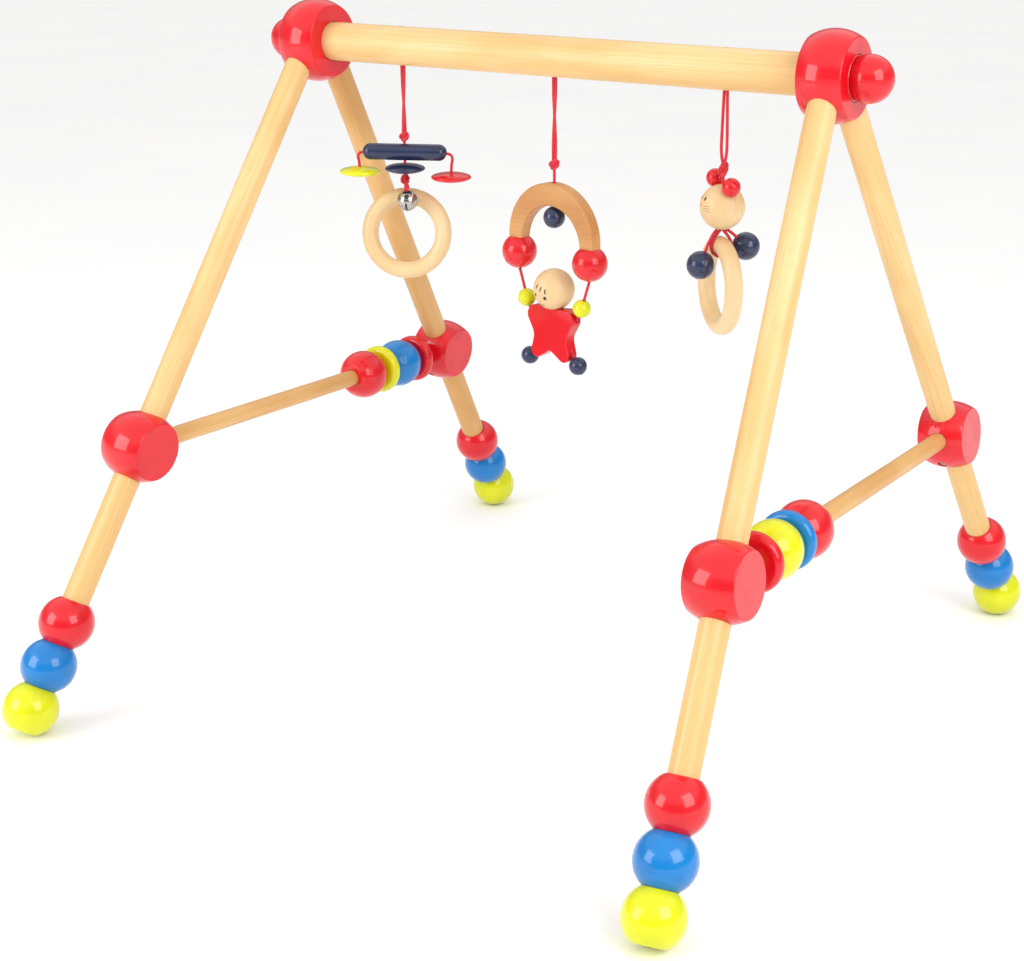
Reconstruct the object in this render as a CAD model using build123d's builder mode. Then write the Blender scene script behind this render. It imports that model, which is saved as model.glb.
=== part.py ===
from build123d import *
import os
from math import acos, cos, radians, sin, sqrt, tan

# A wooden activity play gym: two splayed leg frames carry a round beam, and three toys
# hang from the beam on cords. Millimetres. X runs along the beam, -Y is the front, Z is up,
# and the origin lies on the floor under the middle of the beam.

# ---- frame ----
HUB_X = 215.0  # middle of the beam to a hub's centre
LEG_LENGTH = 536.2  # along a leg, from the hub's centre height to its lowest foot bead
LEG_LEAN = 32.15  # each leg leans this far forward or back within its frame, degrees
SPLAY = 5.25  # each frame leans this far outward, degrees
LEG_OFFSET = 9.7  # a leg's axis passes this far in front of or behind the hub's centre
LEG_DIA = 20.0
BEAM_DIA = 28.6
HUB_DIA = 62.0
HUB_WIDTH = 32.0  # between the hub's flats
JOINT_DIA = 52.4
JOINT_WIDTH = 36.0
JOINT_FLAT = 43.0  # diameter of a joint ball's flats
JOINT_AT = {  # along each leg to its joint ball; the crossbars sit a little aslant
    ("left", "front"): 333.2,
    ("left", "rear"): 344.0,
    ("right", "front"): 335.8,
    ("right", "rear"): 343.0,
}
BAR_DIA = 13.5
TENON_DIA = 8.0
FOOT_DIA = 40.0
FOOT_WIDTH = 32.8
FOOT_SOCKET = 12.0  # depth of the leg's end in the top foot bead
PAINT_RIM = 1.2  # rounding where a ball meets its flats
LOOSE = 0.25  # radial room around a glued dowel
SLIDE_ROOM = 0.4  # radial room of a bead on its bar
GAP = 0.35  # between pieces that move against each other

# ---- toys ----
TOY_X = 134.0  # beam centre to each outer toy
MOUSE_SHIFT = 2.4  # the third toy's hole sits this much further out
CORD_DIA = 2.1
DOUBLE_CORD_DIA = 3.9  # two strands side by side
FREE_ARC = 500.0  # no limit on a free cord's arcs
THREADED_ARC = 8.0  # largest arc of a cord threaded through bores
CORD_HOLE = 5.0
BEAD_CORD_BORE = 3.0
BODY_CORD_BORE = 3.4
RING_DIA = 69.0
RING_TUBE = 12.5

# ---- derived frame geometry ----
foot_tilt = acos(cos(radians(SPLAY)) * cos(radians(LEG_LEAN)))  # leg against the vertical
rim_axial = FOOT_WIDTH / 2 - PAINT_RIM
rim_radial = sqrt((FOOT_DIA / 2 - PAINT_RIM) ** 2 - rim_axial**2)
FOOT_HEIGHT = rim_axial * cos(foot_tilt) + rim_radial * sin(foot_tilt) + PAINT_RIM
BEAM_Z = FOOT_HEIGHT + LEG_LENGTH * cos(foot_tilt)
BEAM_UNDER = BEAM_Z - BEAM_DIA / 2

sides = {"left": -1, "right": 1}
ends = {"front": -1, "rear": 1}
os.makedirs("parts", exist_ok=True)


def save(name, made):
    """Labels a finished piece and writes it to its own file."""
    made.part.label = name
    export_step(made.part, f"parts/{name}.step")


def leg_direction(side, end):
    """Unit vector down a leg."""
    s, l = radians(SPLAY), radians(LEG_LEAN)
    return Vector(side * sin(s) * cos(l), end * sin(l), -cos(s) * cos(l))


def leg_point(side, end, along):
    """Point on a leg's axis, measured from the hub's centre height."""
    start = Vector(side * HUB_X, end * LEG_OFFSET, BEAM_Z)
    return start + leg_direction(side, end) * along


def outward(side):
    """Unit vector square to a leg frame, pointing away from the gym."""
    return Vector(side * cos(radians(SPLAY)), 0, sin(radians(SPLAY)))


def leg_plane(side, end, along):
    """Plane across a leg, facing down it."""
    middle = leg_point(side, end, along)
    return Plane(origin=middle, x_dir=outward(side), z_dir=leg_direction(side, end))


def flat_ball(plane, diameter, width, flat_diameter=None, rim=PAINT_RIM):
    """A ball whose two ends are cut flat across the plane's normal. Adds to the open part.
    With a flat diameter its sides bulge less than a ball's, from the flats to the diameter."""
    half, radius = width / 2, diameter / 2
    flat = flat_diameter / 2 if flat_diameter else sqrt(radius**2 - half**2)
    profile = Plane(origin=plane.origin, x_dir=plane.x_dir, z_dir=-plane.y_dir)
    with BuildSketch(profile) as half_section:
        with BuildLine():
            Polyline((flat, half), (0, half), (0, -half), (flat, -half))
            ThreePointArc((flat, -half), (radius, 0), (flat, half))
        make_face()
        fillet(half_section.vertices().filter_by(lambda v: v.X > 1), rim)
    revolve(half_section.sketch, axis=Axis(plane.origin, plane.z_dir))


def bore(plane, diameter, length, centred=False):
    """Cuts a round hole from the plane along its normal, or to both sides of it."""
    place = Align.CENTER if centred else Align.MIN
    centred_on = (Align.CENTER, Align.CENTER, place)
    with Locations(plane):
        Cylinder(diameter / 2, length, align=centred_on, mode=Mode.SUBTRACT)


def dowel(plane, diameter, length, bevel=0.6):
    """A round rod from the plane along its normal, with small bevels. Adds to the open part."""
    with BuildSketch(plane) as section:
        Circle(diameter / 2)
    extrude(section.sketch, amount=length)
    chamfer(edges(Select.LAST).filter_by(GeomType.CIRCLE), bevel)


def cord_tube(points, diameter, radii):
    """A cord as a plain tube: straight runs joined by tangent arcs. Adds to the open part."""
    with BuildLine():
        route = FilletPolyline(*points, radius=radii) if radii else Line(*points)
    with BuildSketch(Plane(origin=route @ 0, z_dir=route % 0)) as section:
        Circle(diameter / 2)
    sweep(section.sketch, path=route)


def corner_radii(points, largest):
    """Arc for each corner of a cord's route: 0.45 of the shorter run over tan(half turn)."""
    radii = []
    for before, here, after in zip(points, points[1:], points[2:]):
        first, second = Vector(here) - Vector(before), Vector(after) - Vector(here)
        half_turn = radians(first.get_angle(second)) / 2
        radii.append(min(largest, 0.45 * min(first.length, second.length) / tan(half_turn)))
    return radii


def cord_piece(name, routes, diameter=CORD_DIA, largest_arc=FREE_ARC):
    """One cord node; each route is a list of points. Prints the radii of its arcs."""
    with BuildPart() as cord:
        for points in routes:
            radii = corner_radii(points, largest_arc)
            if radii:
                print(name, "arc radii", [round(r, 1) for r in radii])
            cord_tube(points, diameter, radii)
    save(name, cord)
    return cord


# ---- beam, pegs, hubs and end knobs ----
BEAM_END = 4.0  # the beam reaches this far past a hub's centre
PEG_DIA = 4.6
PEG_SUNK = 2.5  # the peg's top lies this far below the beam's top
PEG_CLEAR = 3.0  # room under the peg for the swinging cord's end
HUB_BORE = 29.4
KNOB_BORE = 31.0
KNOB_SPIGOT = 30.2
KNOB_DIA = 32.0
KNOB_AT = 25.0  # a knob's centre, from the hub's centre
KNOB_FLAT = 8.6  # from the knob's centre to its flat against the hub
LEG_SOCKET_AT = 12.0  # where a leg starts inside its hub

beam_length = 2 * (HUB_X + BEAM_END)
toy_places = {"spinner": -TOY_X, "swing": 0.0, "mouse": TOY_X + MOUSE_SHIFT}

with BuildPart() as beam:
    dowel(Plane(origin=(-beam_length / 2, 0, BEAM_Z), z_dir=(1, 0, 0)), BEAM_DIA, beam_length, 1.0)
    for x in toy_places.values():
        bore(Plane(origin=(x, 0, BEAM_Z)), CORD_HOLE, 2 * BEAM_DIA, centred=True)
save("beam", beam)

with BuildPart() as cord_pegs:
    for x in toy_places.values():
        peg_foot = Plane(origin=(x, 0, BEAM_UNDER + PEG_CLEAR))
        dowel(peg_foot, PEG_DIA, BEAM_DIA - PEG_CLEAR - PEG_SUNK, 0.4)
save("cord_pegs", cord_pegs)

for side_name, side in sides.items():
    hub_centre = Vector(side * HUB_X, 0, BEAM_Z)
    hub_plane = Plane(origin=hub_centre, x_dir=(0, 1, 0), z_dir=(side, 0, 0))
    with BuildPart() as hub:
        flat_ball(hub_plane, HUB_DIA, HUB_WIDTH)
        bore(hub_plane, HUB_BORE, HUB_WIDTH + 2, centred=True)
        bore(hub_plane.offset(BEAM_END), KNOB_BORE, HUB_WIDTH)
        for end in ends.values():
            bore(leg_plane(side, end, LEG_SOCKET_AT), LEG_DIA + 2 * LOOSE, HUB_DIA / 2)
    save(f"{side_name}_hub", hub)

    knob_plane = hub_plane.offset(KNOB_AT)
    with BuildPart() as knob:
        with Locations(knob_plane):
            Sphere(KNOB_DIA / 2)
        with Locations(knob_plane.offset(-KNOB_FLAT)):
            flat_side = (Align.CENTER, Align.CENTER, Align.MAX)
            Box(KNOB_DIA, KNOB_DIA, KNOB_DIA, align=flat_side, mode=Mode.SUBTRACT)
        spigot_length = KNOB_AT - KNOB_FLAT - BEAM_END - GAP
        dowel(knob_plane.offset(-KNOB_FLAT - spigot_length), KNOB_SPIGOT, spigot_length, 0.5)
    save(f"{side_name}_end_knob", knob)

# ---- legs, joint balls, crossbars and lock screws ----
SCREW_DIA = 3.0
SCREW_HEAD = 6.0
SCREW_HOLE = 6.6
SCREW_DROP = 8.0  # the lock screw's axis, down the leg from the joint ball's centre
SCREW_REACH = 5.0  # the screw's tip, from the leg's axis
SCREW_SUNK = 2.0  # its head below the ball's surface
HEAD_THICK = 2.4
DRIVE_DIA = 2.6
TENON_REACH = 2.0  # the tenon's tip, from the joint ball's centre
BAR_CLEAR = 16.6  # the crossbar's shoulder, from the joint ball's centre
DOWEL_DIA = 8.0
DOWEL_IN_LEG = 18.0
DOWEL_IN_LAST = 22.0

first_bead_at = LEG_LENGTH - 2 * FOOT_WIDTH
leg_end = first_bead_at - FOOT_WIDTH / 2 + FOOT_SOCKET
screw_surface = sqrt((JOINT_DIA / 2) ** 2 - SCREW_DROP**2)


def joint_point(side_name, end_name):
    """Centre of a joint ball."""
    return leg_point(sides[side_name], ends[end_name], JOINT_AT[side_name, end_name])


def bar_plane(side_name, end_name, along):
    """Plane across a crossbar, facing away from one joint ball, that far from its centre."""
    start = joint_point(side_name, end_name)
    other = "rear" if end_name == "front" else "front"
    direction = (joint_point(side_name, other) - start).normalized()
    return Plane(origin=start + direction * along, x_dir=(1, 0, 0), z_dir=direction)


def screw_plane(side_name, end_name, out):
    """Plane across a lock screw, facing out of the joint ball, that far from the leg's axis."""
    side, end = sides[side_name], ends[end_name]
    s, l = radians(SPLAY), radians(LEG_LEAN)
    inward = Vector(side * sin(s) * sin(l), -end * cos(l), -cos(s) * sin(l))
    foot = leg_point(side, end, JOINT_AT[side_name, end_name] + SCREW_DROP)
    return Plane(origin=foot + inward * out, z_dir=inward)


for side_name, side in sides.items():
    for end_name, end in ends.items():
        with BuildPart() as leg:
            dowel(leg_plane(side, end, LEG_SOCKET_AT), LEG_DIA, leg_end - LEG_SOCKET_AT)
            bore(leg_plane(side, end, leg_end - DOWEL_IN_LEG), DOWEL_DIA, 2 * DOWEL_IN_LEG)
            bore(bar_plane(side_name, end_name, TENON_REACH - GAP), TENON_DIA, JOINT_DIA)
            bore(screw_plane(side_name, end_name, SCREW_REACH - GAP), SCREW_DIA, JOINT_DIA)
        save(f"{end_name}_{side_name}_leg", leg)

        with BuildPart() as joint_ball:
            middle = Plane(joint_point(side_name, end_name), x_dir=(0, 1, 0), z_dir=outward(side))
            flat_ball(middle, JOINT_DIA, JOINT_WIDTH, JOINT_FLAT)
            joint_at = JOINT_AT[side_name, end_name]
            bore(leg_plane(side, end, joint_at), LEG_DIA + 2 * LOOSE, 2 * JOINT_DIA, centred=True)
            bore(bar_plane(side_name, end_name, 0), BAR_DIA + 2 * LOOSE, JOINT_DIA)
            bore(screw_plane(side_name, end_name, 0), SCREW_DIA, JOINT_DIA)
            head_seat = screw_surface - SCREW_SUNK - HEAD_THICK
            bore(screw_plane(side_name, end_name, head_seat), SCREW_HOLE, JOINT_DIA)
        save(f"{end_name}_{side_name}_joint_ball", joint_ball)

    bar_length = (joint_point(side_name, "rear") - joint_point(side_name, "front")).length
    with BuildPart() as crossbar:
        dowel(bar_plane(side_name, "front", BAR_CLEAR), BAR_DIA, bar_length - 2 * BAR_CLEAR)
        for end_name in ends:
            with BuildSketch(bar_plane(side_name, end_name, TENON_REACH)):
                Circle(TENON_DIA / 2)
            extrude(amount=BAR_CLEAR - TENON_REACH)
    save(f"{side_name}_crossbar", crossbar)

with BuildPart() as joint_screws:
    for side_name in sides:
        for end_name in ends:
            head_foot = screw_surface - SCREW_SUNK - HEAD_THICK
            with BuildSketch(screw_plane(side_name, end_name, SCREW_REACH)):
                Circle(SCREW_DIA / 2)
            extrude(amount=head_foot - SCREW_REACH)
            with BuildSketch(screw_plane(side_name, end_name, head_foot)):
                Circle(SCREW_HEAD / 2)
            extrude(amount=HEAD_THICK)
            with BuildSketch(screw_plane(side_name, end_name, head_foot + HEAD_THICK)):
                RegularPolygon(DRIVE_DIA / 2, 6)
            extrude(amount=-HEAD_THICK / 2, mode=Mode.SUBTRACT)
save("joint_screws", joint_screws)

# ---- feet ----
foot_beads = {"red": 0, "blue": 1, "yellow": 2}
for colour, place in foot_beads.items():
    with BuildPart() as beads:
        for side in sides.values():
            for end in ends.values():
                centre = first_bead_at + place * FOOT_WIDTH
                flat_ball(leg_plane(side, end, centre), FOOT_DIA, FOOT_WIDTH)
                if colour == "red":
                    bore(leg_plane(side, end, centre - FOOT_WIDTH / 2), LEG_DIA + 2 * LOOSE, FOOT_SOCKET)
                depth = DOWEL_IN_LAST if colour == "yellow" else FOOT_WIDTH
                bore(leg_plane(side, end, centre - FOOT_WIDTH / 2), DOWEL_DIA, depth)
    save(f"{colour}_foot_beads", beads)

with BuildPart() as foot_dowels:
    for side in sides.values():
        for end in ends.values():
            start = leg_end - DOWEL_IN_LEG + GAP
            stop = first_bead_at + 1.5 * FOOT_WIDTH + DOWEL_IN_LAST - GAP
            dowel(leg_plane(side, end, start), DOWEL_DIA, stop - start)
save("foot_dowels", foot_dowels)

# ---- beads that slide on the crossbars ----
BEAD_BORE = BAR_DIA + 2 * SLIDE_ROOM
RING_BEAD_WIDTH = 10.0
RING_BEAD_ROUND = 0.42  # rounding of its rims, of its width
BAR_BEADS = {  # side, distance from the front joint ball's centre along the bar, width
    "right_bar_red_ring": ("right", 41.6, RING_BEAD_WIDTH),
    "right_bar_yellow_ball": ("right", 67.9, FOOT_WIDTH),
    "right_bar_blue_ring": ("right", 89.8, RING_BEAD_WIDTH),
    "right_bar_red_ball": ("right", 114.0, FOOT_WIDTH),
    "left_bar_red_ring": ("left", 335.6, RING_BEAD_WIDTH),
    "left_bar_blue_ball": ("left", 313.6, FOOT_WIDTH),
    "left_bar_yellow_ring": ("left", 287.2, RING_BEAD_WIDTH),
    "left_bar_red_ball": ("left", 264.6, FOOT_WIDTH),
}
for name, (side_name, distance, width) in BAR_BEADS.items():
    bead_plane = bar_plane(side_name, "front", distance)
    with BuildPart() as bead:
        if width == RING_BEAD_WIDTH:
            with Locations(bead_plane):
                Cylinder(FOOT_DIA / 2, width)
            fillet(bead.edges().filter_by(GeomType.CIRCLE), width * RING_BEAD_ROUND)
        else:
            flat_ball(bead_plane, FOOT_DIA, width)
        bore(bead_plane, BEAD_BORE, 2 * width, centred=True)
    save(name, bead)


def local_frame(x, turn):
    """Maps (u, w, z) to the row frame: u across the toy, w to its front, turned about its cord."""
    a = radians(turn)

    def place(u, w, z):
        return Vector(x + u * cos(a) + w * sin(a), u * sin(a) - w * cos(a), z)

    return place


def across(x, turn, u, w, z):
    """Plane square to a toy's u axis."""
    place = local_frame(x, turn)
    return Plane(origin=place(u, w, z), x_dir=(0, 0, 1), z_dir=place(1, 0, 0) - place(0, 0, 0))


def facing(x, turn, u, w, z, tilt=0.0):
    """Plane facing a toy's front, its x axis along u, tipped up by tilt degrees."""
    place = local_frame(x, turn)
    u_axis = place(1, 0, 0) - place(0, 0, 0)
    front = place(0, 1, 0) - place(0, 0, 0)
    normal = front * cos(radians(tilt)) + Vector(0, 0, 1) * sin(radians(tilt))
    return Plane(origin=place(u, w, z), x_dir=u_axis, z_dir=normal)


def grasping_ring(name, plane):
    """A turned wood ring."""
    with BuildPart() as ring:
        with Locations(plane):
            Torus((RING_DIA - RING_TUBE) / 2, RING_TUBE / 2)
    save(name, ring)


def loop_route(place, w, z, radius, start, finish):
    """A cord's route around a ring's tube, in the plane w-z at u = 0, from start to finish."""
    turns = (22, -28, -78, -128, -178, -228)
    around = [(w + radius * cos(radians(a)), z + radius * sin(radians(a))) for a in turns]
    return [place(0, a, b) for a, b in [start] + around + [finish]]


def hanging_cord(name, x, knot_z, strands, diameter):
    """The cord from the beam's underside to a toy's knot, as one or more straight tubes."""
    routes = [[Vector(x, 0, BEAM_UNDER) + top, Vector(x, 0, knot_z) + low] for top, low in strands]
    return cord_piece(name, routes, diameter)


def disc(name, plane):
    """A flat bead with an elliptical section and a hole through its middle."""
    with BuildPart() as bead:
        profile = Plane(origin=plane.origin, x_dir=plane.x_dir, z_dir=-plane.y_dir)
        with BuildSketch(profile):
            with BuildLine():
                EllipticalCenterArc((0, 0), DISC_DIA / 2, DISC_THICK / 2, start_angle=-90, arc_size=180)
                Line((0, DISC_THICK / 2), (0, -DISC_THICK / 2))
            make_face()
        revolve(axis=Axis(plane.origin, plane.z_dir))
        bore(plane, DISC_HOLE, 2 * DISC_THICK, centred=True)
    save(name, bead)


# ---- toy 1, the spinner ----
SPIN_X = toy_places["spinner"]
SPIN_TURN = 27.0
SPIN_KNOT_Z = 408.5
ROD_Z = 393.2
ROD_DIA = 12.5
ROD_LENGTH = 64.0
ROD_HOLE = 3.6
END_HOLE = 3.4
END_HOLE_DEPTH = 11.0
DISC_DIA = 30.6
DISC_THICK = 7.6
DISC_HOLE = 2.6
MIDDLE_DISC_Z = 380.8
LOW_KNOT_Z = 372.3
SPIN_RING_Z = 330.8
SPIN_RING_W = -2.0
SPIN_RING_TILT = 10.0
BELL_U = 3.2
BELL_W = 10.4
BELL_Z = 358.0
BELL_DIA = 15.6
BELL_WALL = 0.6
BELL_HOLE = 4.2
BELL_SLIT = 1.3
BELL_BALL_DIA = 4.4

spin = local_frame(SPIN_X, SPIN_TURN)
hanging_cord("spinner_cord", SPIN_X, SPIN_KNOT_Z, [(Vector(0, 0, 0), Vector(0, 0, 0))], DOUBLE_CORD_DIA)

with BuildPart() as rod:
    with BuildSketch(across(SPIN_X, SPIN_TURN, -ROD_LENGTH / 2, 0, ROD_Z)):
        Circle(ROD_DIA / 2)
    extrude(amount=ROD_LENGTH)
    fillet(rod.edges().filter_by(GeomType.CIRCLE), ROD_DIA / 2 - 0.4)
    bore(Plane(origin=spin(0, 0, ROD_Z)), ROD_HOLE, 2 * ROD_DIA, centred=True)
    for u in (-1, 1):
        hole_middle = u * (ROD_LENGTH / 2 - END_HOLE_DEPTH / 2)
        bore(across(SPIN_X, SPIN_TURN, hole_middle, 0, ROD_Z), END_HOLE, END_HOLE_DEPTH, centred=True)
save("spinner_rod", rod)

u_axis = spin(1, 0, 0) - spin(0, 0, 0)
disc_places = {"yellow_disc": (-34.7, 377.8), "navy_disc": (0.0, MIDDLE_DISC_Z), "red_disc": (35.2, 374.8)}
for name, (u, z) in disc_places.items():
    disc(name, Plane(origin=spin(u, 0, z), x_dir=u_axis, z_dir=(0, 0, 1)))

end_cords = [
    [(-22.0, ROD_Z), (-33.6, ROD_Z), (-36.4, 389.8), (-34.7, 385.0), (-34.7, 373.2)],
    [(22.0, ROD_Z), (33.8, ROD_Z), (36.8, 389.6), (35.2, 383.4), (35.2, 370.6)],
]
cord_piece("spinner_end_cords", [[spin(u, 0, z) for u, z in route] for route in end_cords])

middle_cord = [(0, 0, 404.5), (0, 0, 376.0), (1.3, 4.4, 371.2), (2.8, 9.0, 369.0), (BELL_U, BELL_W, 363.6)]
cord_piece("spinner_middle_cord", [[spin(*point) for point in middle_cord]])

grasping_ring("spinner_ring", facing(SPIN_X, SPIN_TURN, 0, SPIN_RING_W, SPIN_RING_Z, SPIN_RING_TILT))
loop_radius = RING_TUBE / 2 + CORD_DIA / 2 + 1.1
ring_top = (RING_DIA - RING_TUBE) / 2
top_w = SPIN_RING_W - ring_top * sin(radians(SPIN_RING_TILT))
top_z = SPIN_RING_Z + ring_top * cos(radians(SPIN_RING_TILT))
loop_start = LOW_KNOT_Z - 1.5
spin_loop = loop_route(spin, top_w, top_z, loop_radius, (-0.3, loop_start), (-2.8, loop_start))
cord_piece("spinner_ring_cord", [spin_loop])

bell_centre = spin(BELL_U, BELL_W, BELL_Z)
with BuildPart() as bell_shell:
    with Locations(Plane(origin=bell_centre)):
        Sphere(BELL_DIA / 2)
        Sphere(BELL_DIA / 2 - BELL_WALL, mode=Mode.SUBTRACT)
    bore(Plane(origin=bell_centre), BELL_HOLE, BELL_DIA)
    with Locations(facing(SPIN_X, SPIN_TURN, BELL_U, BELL_W, BELL_Z - BELL_DIA / 2)):
        Box(BELL_SLIT, BELL_DIA * 0.9, 2 * BELL_DIA, mode=Mode.SUBTRACT)
save("bell_shell", bell_shell)

ball_drop = (BELL_DIA - BELL_BALL_DIA) / 2 - BELL_WALL - GAP
with BuildPart() as bell_ball:
    with Locations(Plane(origin=bell_centre - Vector(0, 0, ball_drop))):
        Sphere(BELL_BALL_DIA / 2)
save("bell_ball", bell_ball)

# ---- toy 2, the figure that swings from an arch ----
SWING_X = toy_places["swing"]
SWING_TURN = -10.0
SWING_KNOT_Z = 396.0
ARCH_Z = 341.5  # centre of the arch's curve
ARCH_R = 34.75  # to the middle of its section
ARCH_WIDTH = 12.5
ARCH_DEPTH = 10.5
ARCH_FOOT_Z = 339.0
ARCH_LOW = 4.2  # the inner curve's centre lies this far below the outer one's
ARCH_HOLE = 3.6
BALL_BORE = 4.4
ARCH_RIM = 1.6
BALL_DIA = 26.0
BALL_Z = 327.9
NAVY_BEAD_DIA = 16.0
NAVY_BEAD_Z = 357.3
HAND_DIA = 13.5
HAND_Z = 293.6
HEAD_DIA = 30.6
HEAD_Z = 304.0
BODY_THICK = 10.0
BODY_TOP = 289.6
BODY_NOTCH = 258.4
FOOT_Z = 249.8
SMALL_FOOT_DIA = 13.5

swing = local_frame(SWING_X, SWING_TURN)
hanging_cord("swing_cord", SWING_X, SWING_KNOT_Z, [(Vector(0, 0, 0), Vector(0, 0, 0))], DOUBLE_CORD_DIA)

with BuildPart() as arch:
    arch_face = facing(SWING_X, SWING_TURN, 0, 0, 0)
    front = swing(0, ARCH_DEPTH / 2, ARCH_Z)
    outer, inner = ARCH_R + ARCH_WIDTH / 2, ARCH_R - ARCH_WIDTH / 2
    drop = ARCH_FOOT_Z - ARCH_Z
    inner_foot = sqrt(inner**2 - (ARCH_LOW + drop) ** 2)
    with BuildSketch(Plane(origin=front, x_dir=arch_face.x_dir, z_dir=arch_face.z_dir)):
        with BuildLine():
            Polyline((outer, 0), (outer, drop), (inner_foot, drop))
            ThreePointArc((inner_foot, drop), (0, inner - ARCH_LOW), (-inner_foot, drop))
            Polyline((-inner_foot, drop), (-outer, drop), (-outer, 0))
            ThreePointArc((-outer, 0), (0, outer), (outer, 0))
        make_face()
    extrude(amount=-ARCH_DEPTH)
    fillet(arch.edges().filter_by(GeomType.CIRCLE), ARCH_RIM)
    bore(Plane(origin=swing(0, 0, ARCH_Z)), ARCH_HOLE, 2 * ARCH_R)
save("arch", arch)

cord_piece("arch_cord", [[swing(0, 0, 394.2), swing(0, 0, 351.4)]])

with BuildPart() as navy_bead:
    with Locations(Plane(origin=swing(0, 0, NAVY_BEAD_Z))):
        Sphere(NAVY_BEAD_DIA / 2)
    bore(Plane(origin=swing(0, 0, NAVY_BEAD_Z)), DISC_HOLE, 2 * NAVY_BEAD_DIA, centred=True)
save("arch_navy_bead", navy_bead)

with BuildPart() as arch_balls:
    for u in (-1, 1):
        with Locations(Plane(origin=swing(u * ARCH_R, 0, BALL_Z))):
            Sphere(BALL_DIA / 2)
        with Locations(Plane(origin=swing(u * ARCH_R, 0, ARCH_FOOT_Z))):
            above = (Align.CENTER, Align.CENTER, Align.MIN)
            Box(BALL_DIA, BALL_DIA, BALL_DIA, align=above, mode=Mode.SUBTRACT)
        bore(Plane(origin=swing(u * ARCH_R, 0, BALL_Z)), BALL_BORE, 2 * BALL_DIA, centred=True)
save("arch_balls", arch_balls)

# each figure cord: ball, hand bead, shoulder, down through the body, foot bead
figure_cord_route = [
    (34.4, 314.6),
    (29.5, 300.6),
    (25.4, 287.4),
    (14.4, 277.4),
    (13.4, 263.6),
    (26.0, 247.2),
]
figure_routes = [[swing(u * a, 0, z) for a, z in figure_cord_route] for u in (-1, 1)]
cord_piece("figure_cords", figure_routes, largest_arc=THREADED_ARC)


def strung_beads(name, diameter, z, run):
    """A mirrored pair of beads centred at height z on one run of the figure's cords."""
    share = (z - run[0][1]) / (run[1][1] - run[0][1])
    u = run[0][0] + share * (run[1][0] - run[0][0])
    with BuildPart() as pair:
        for hand in (-1, 1):
            ahead = swing(hand * run[1][0], 0, run[1][1]) - swing(hand * run[0][0], 0, run[0][1])
            centre = Plane(origin=swing(hand * u, 0, z), z_dir=ahead)
            with Locations(centre):
                Sphere(diameter / 2)
            bore(centre, BEAD_CORD_BORE, 2 * diameter, centred=True)
    save(name, pair)


strung_beads("hand_beads", HAND_DIA, HAND_Z, figure_cord_route[1:3])
strung_beads("figure_foot_beads", SMALL_FOOT_DIA, FOOT_Z, figure_cord_route[4:6])

# half of the body's outline, u and z, with each corner's rounding
body_half = [((28.6, 292.2), 7.6), ((15.4, 269.2), 9.6), ((22.0, 244.6), 5.4)]
NOTCH_ROUND = 3.0
BODY_RIM = 0.8
HEAD_SEAT = 0.02  # room between a head and what is glued to it
with BuildPart() as figure_body:
    body_plane = facing(SWING_X, SWING_TURN, 0, BODY_THICK / 2, 0)
    right_side = [corner for corner, _ in body_half]
    left_side = [(-u, z) for u, z in reversed(right_side)]
    with BuildSketch(body_plane) as star:
        with BuildLine():
            Polyline((0, BODY_TOP), *right_side, (0, BODY_NOTCH), *left_side, close=True)
        make_face()
        for (u, z), rounding in body_half:
            pair = vertices().filter_by(lambda v: abs(abs(v.X) - u) < 0.1 and abs(v.Y - z) < 0.1)
            fillet(pair, rounding)
        fillet(vertices().filter_by(lambda v: abs(v.X) < 0.1 and v.Y < BODY_NOTCH + 1), NOTCH_ROUND)
    extrude(amount=-BODY_THICK)
    flat_sides = figure_body.faces().filter_by(Axis((0, 0, 0), body_plane.z_dir))
    fillet(flat_sides.edges(), BODY_RIM)
    for points in figure_routes:
        for first, last in zip(points[2:], points[3:]):
            run = last - first
            bore(Plane(origin=first - run * 0.08, z_dir=run), BODY_CORD_BORE, run.length * 1.16)
    with Locations(Plane(origin=swing(0, 0, HEAD_Z))):
        Sphere(HEAD_DIA / 2 + HEAD_SEAT, mode=Mode.SUBTRACT)
save("figure_body", figure_body)

with BuildPart() as figure_head:
    with Locations(Plane(origin=swing(0, 0, HEAD_Z))):
        Sphere(HEAD_DIA / 2)
save("figure_head", figure_head)

# ---- toy 3, the mouse with its grasping ring ----
MOUSE_X = toy_places["mouse"]
MOUSE_TURN = -38.3
MOUSE_KNOT_Z = 403.0
MOUSE_HEAD_DIA = 31.4
MOUSE_HEAD_Z = 378.8
HEAD_HOLE = 3.6
EAR_DIA = 13.0
EARS = ((-12.8, 396.8), (13.4, 394.2))  # u and z of each ear
MOUSE_RING_TURN = 4.8  # the ring hangs turned this much further than the head
MOUSE_RING_Z = 323.6
NECK_Z = MOUSE_HEAD_Z - MOUSE_HEAD_DIA / 2
HAND_BEAD_DIA = 19.6
HAND_CORD_W = 3.9
FRONT_HAND = (15.2, 339.0)  # w and z
BACK_HAND = (-18.8, 350.2)

STRAND_OUT = 1.2  # a strand of a pair, from the pair's middle

mouse = local_frame(MOUSE_X, MOUSE_TURN)
mouse_strands = [
    (Vector(-STRAND_OUT, 0, 0), Vector(-2.2, 0, 8.0)),
    (Vector(STRAND_OUT, 0, 0), Vector(2.2, 0, 8.0)),
]
hanging_cord("mouse_cord", MOUSE_X, MOUSE_KNOT_Z, mouse_strands, CORD_DIA)
cord_piece("mouse_head_cord", [[mouse(0, 0, 401.0), mouse(0, 0, NECK_Z + 0.6)]])

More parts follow.
